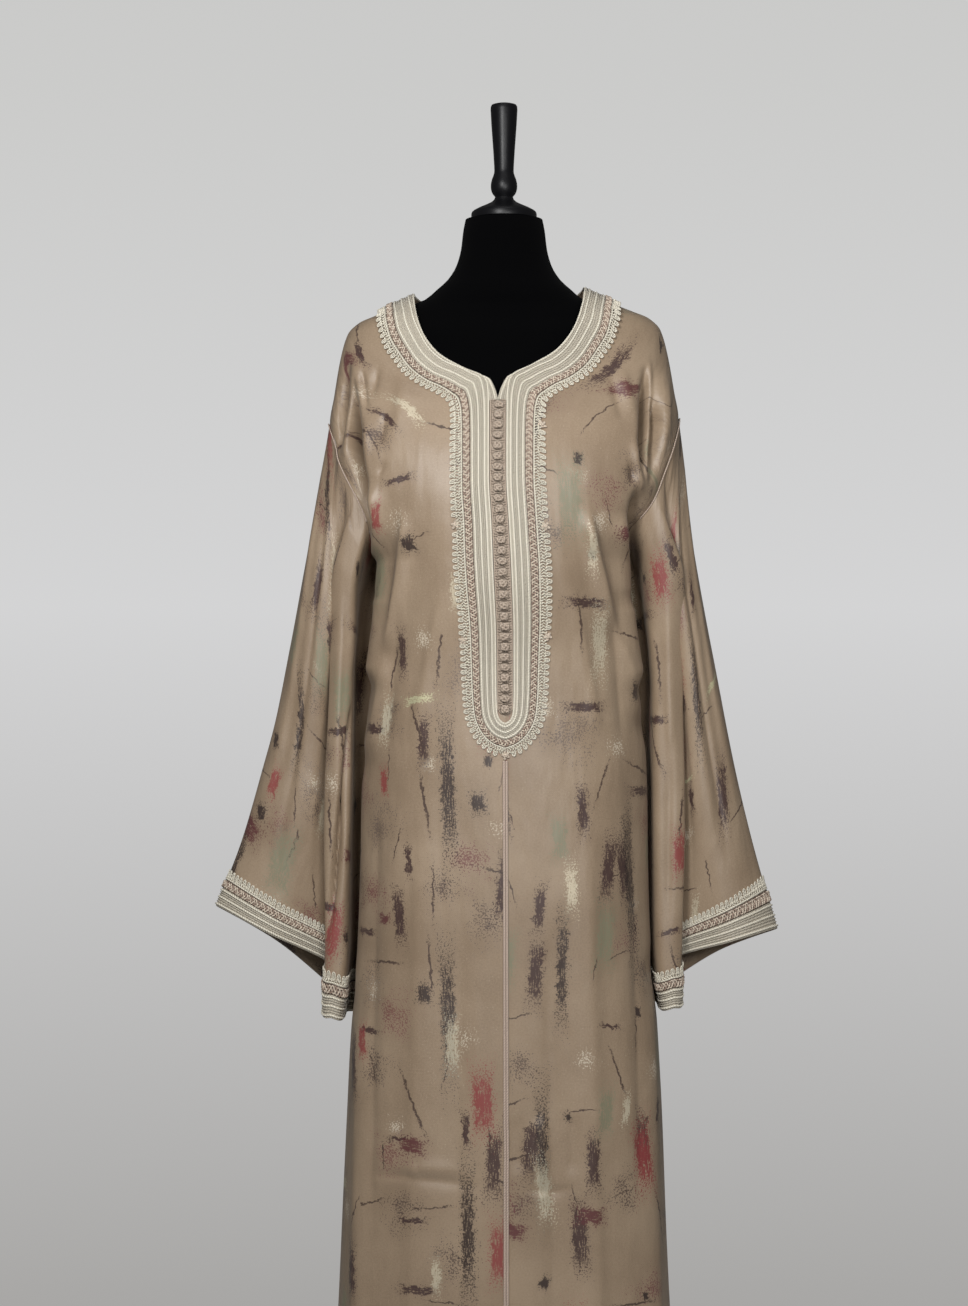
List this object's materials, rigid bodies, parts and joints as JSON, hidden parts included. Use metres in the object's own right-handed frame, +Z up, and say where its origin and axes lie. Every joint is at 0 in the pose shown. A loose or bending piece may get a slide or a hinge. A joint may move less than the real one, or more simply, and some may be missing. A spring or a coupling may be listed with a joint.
{
  "type": "caftan on a dress form",
  "caption": "Long loose caftan with wide sleeves, a braided and buttoned front opening and braided cuffs, worn by a limbless dress form on a round stand.",
  "frame": {"origin": "centre of the underside of the stand's base plate, on the floor", "axes": "+Z up along the stand; the front of the caftan faces -Y; +X is the viewer's right"},
  "size_m": [0.733, 0.37, 1.74],
  "materials": {
    "caftan_cloth": "taupe satin with a scattered print",
    "cream_trim": "cream cord, braid and crochet",
    "tan_knots": "tan knotted thread",
    "black_jersey": "matte black jersey over a moulded form",
    "black_satin_paint": "turned wood in satin black paint",
    "black_painted_steel": "black powder coat"
  },
  "bodies": {
    "root": {"form_torso": "black_jersey", "neck_cap": "black_satin_paint", "finial": "black_satin_paint", "stand_pole": "black_painted_steel", "stand_base": "black_painted_steel", "front_left": "caftan_cloth", "front_right": "caftan_cloth", "back": "caftan_cloth", "sleeve_left": "caftan_cloth", "sleeve_right": "caftan_cloth", "neck_band": "cream_trim", "neck_scallops": "cream_trim", "button_strip": "cream_trim", "front_seam_braid": "cream_trim", "armhole_cord_left": "cream_trim", "armhole_cord_right": "cream_trim", "cuff_band_left": "cream_trim", "cuff_band_right": "cream_trim", "cuff_scallops_left": "cream_trim", "cuff_scallops_right": "cream_trim", "button_01": "tan_knots", "button_02": "tan_knots", "button_03": "tan_knots", "button_04": "tan_knots", "button_05": "tan_knots", "button_06": "tan_knots", "button_07": "tan_knots", "button_08": "tan_knots", "button_09": "tan_knots", "button_10": "tan_knots", "button_11": "tan_knots", "button_12": "tan_knots", "button_13": "tan_knots", "button_14": "tan_knots", "button_15": "tan_knots", "button_16": "tan_knots", "button_17": "tan_knots", "button_18": "tan_knots", "button_19": "tan_knots", "button_20": "tan_knots", "button_21": "tan_knots", "button_22": "tan_knots", "button_23": "tan_knots", "button_24": "tan_knots", "button_25": "tan_knots", "button_26": "tan_knots", "button_27": "tan_knots", "button_28": "tan_knots", "button_29": "tan_knots", "button_30": "tan_knots"}
  },
  "joints": []
}
